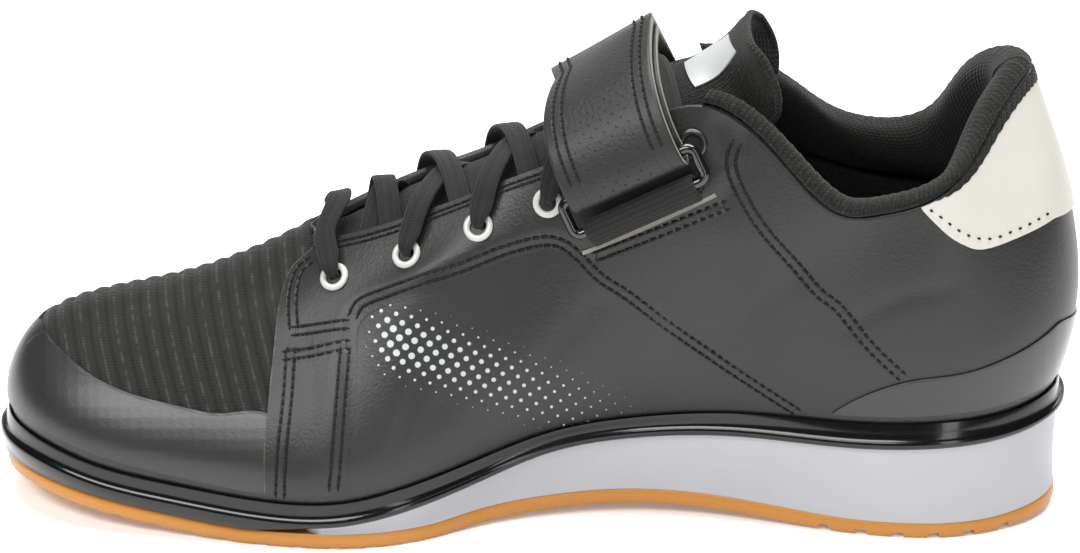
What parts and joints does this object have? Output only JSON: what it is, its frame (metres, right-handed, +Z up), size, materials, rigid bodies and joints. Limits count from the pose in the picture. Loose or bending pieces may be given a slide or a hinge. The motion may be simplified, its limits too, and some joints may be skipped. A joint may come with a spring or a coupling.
{
  "type": "weightlifting shoe",
  "caption": "Low lifting shoe with a flat raised wedge heel, hollow lace-up upper, padded collar and a wide instep strap doubled back through a wire ring.",
  "frame": {"origin": "middle of the shoe's box, on the floor that heel and forefoot stand on", "axes": "+X towards the heel (toe at -X), +Y towards the outer (lateral) side, +Z up"},
  "size_m": [0.307, 0.107, 0.1401],
  "materials": {
    "gum_rubber": "translucent amber gum, satin",
    "midsole_white": "satin white foam shell",
    "rim_gloss": "glossy black",
    "upper_leather": "black synthetic leather, satin",
    "insole_cloth": "black cloth",
    "tongue_textile": "black perforated textile",
    "collar_textile": "black knitted textile",
    "guard_film": "satin black film",
    "heel_patch_white": "off-white synthetic leather",
    "eyestay_leather": "black synthetic leather, satin",
    "slit_raw_edge": "raw pale cut edge",
    "ring_enamel": "black enamelled wire",
    "loop_webbing": "black woven webbing",
    "eyelet_metal": "light silver",
    "lace_textile": "black flat woven lace"
  },
  "bodies": {
    "root": {"outsole": "gum_rubber", "midsole": "midsole_white", "rim": "rim_gloss", "upper": "upper_leather", "insole": "insole_cloth", "tongue": "tongue_textile", "collar": "collar_textile", "toe_guard": "guard_film", "heel_counter": "guard_film", "heel_patch": "heel_patch_white", "eyestay_medial": "eyestay_leather", "eyestay_lateral": "eyestay_leather", "slit_edge": "slit_raw_edge", "strap": "upper_leather", "strap_ring": "ring_enamel", "ring_loop": "loop_webbing", "eyelet_medial_1": "eyelet_metal", "eyelet_medial_2": "eyelet_metal", "eyelet_medial_3": "eyelet_metal", "eyelet_medial_4": "eyelet_metal", "eyelet_medial_5": "eyelet_metal", "eyelet_medial_6": "eyelet_metal", "eyelet_lateral_1": "eyelet_metal", "eyelet_lateral_2": "eyelet_metal", "eyelet_lateral_3": "eyelet_metal", "eyelet_lateral_4": "eyelet_metal", "eyelet_lateral_5": "eyelet_metal", "eyelet_lateral_6": "eyelet_metal", "lace_bar": "lace_textile", "lace_cross_1": "lace_textile", "lace_cross_2": "lace_textile", "lace_cross_3": "lace_textile", "lace_cross_4": "lace_textile", "lace_cross_5": "lace_textile"}
  },
  "joints": []
}
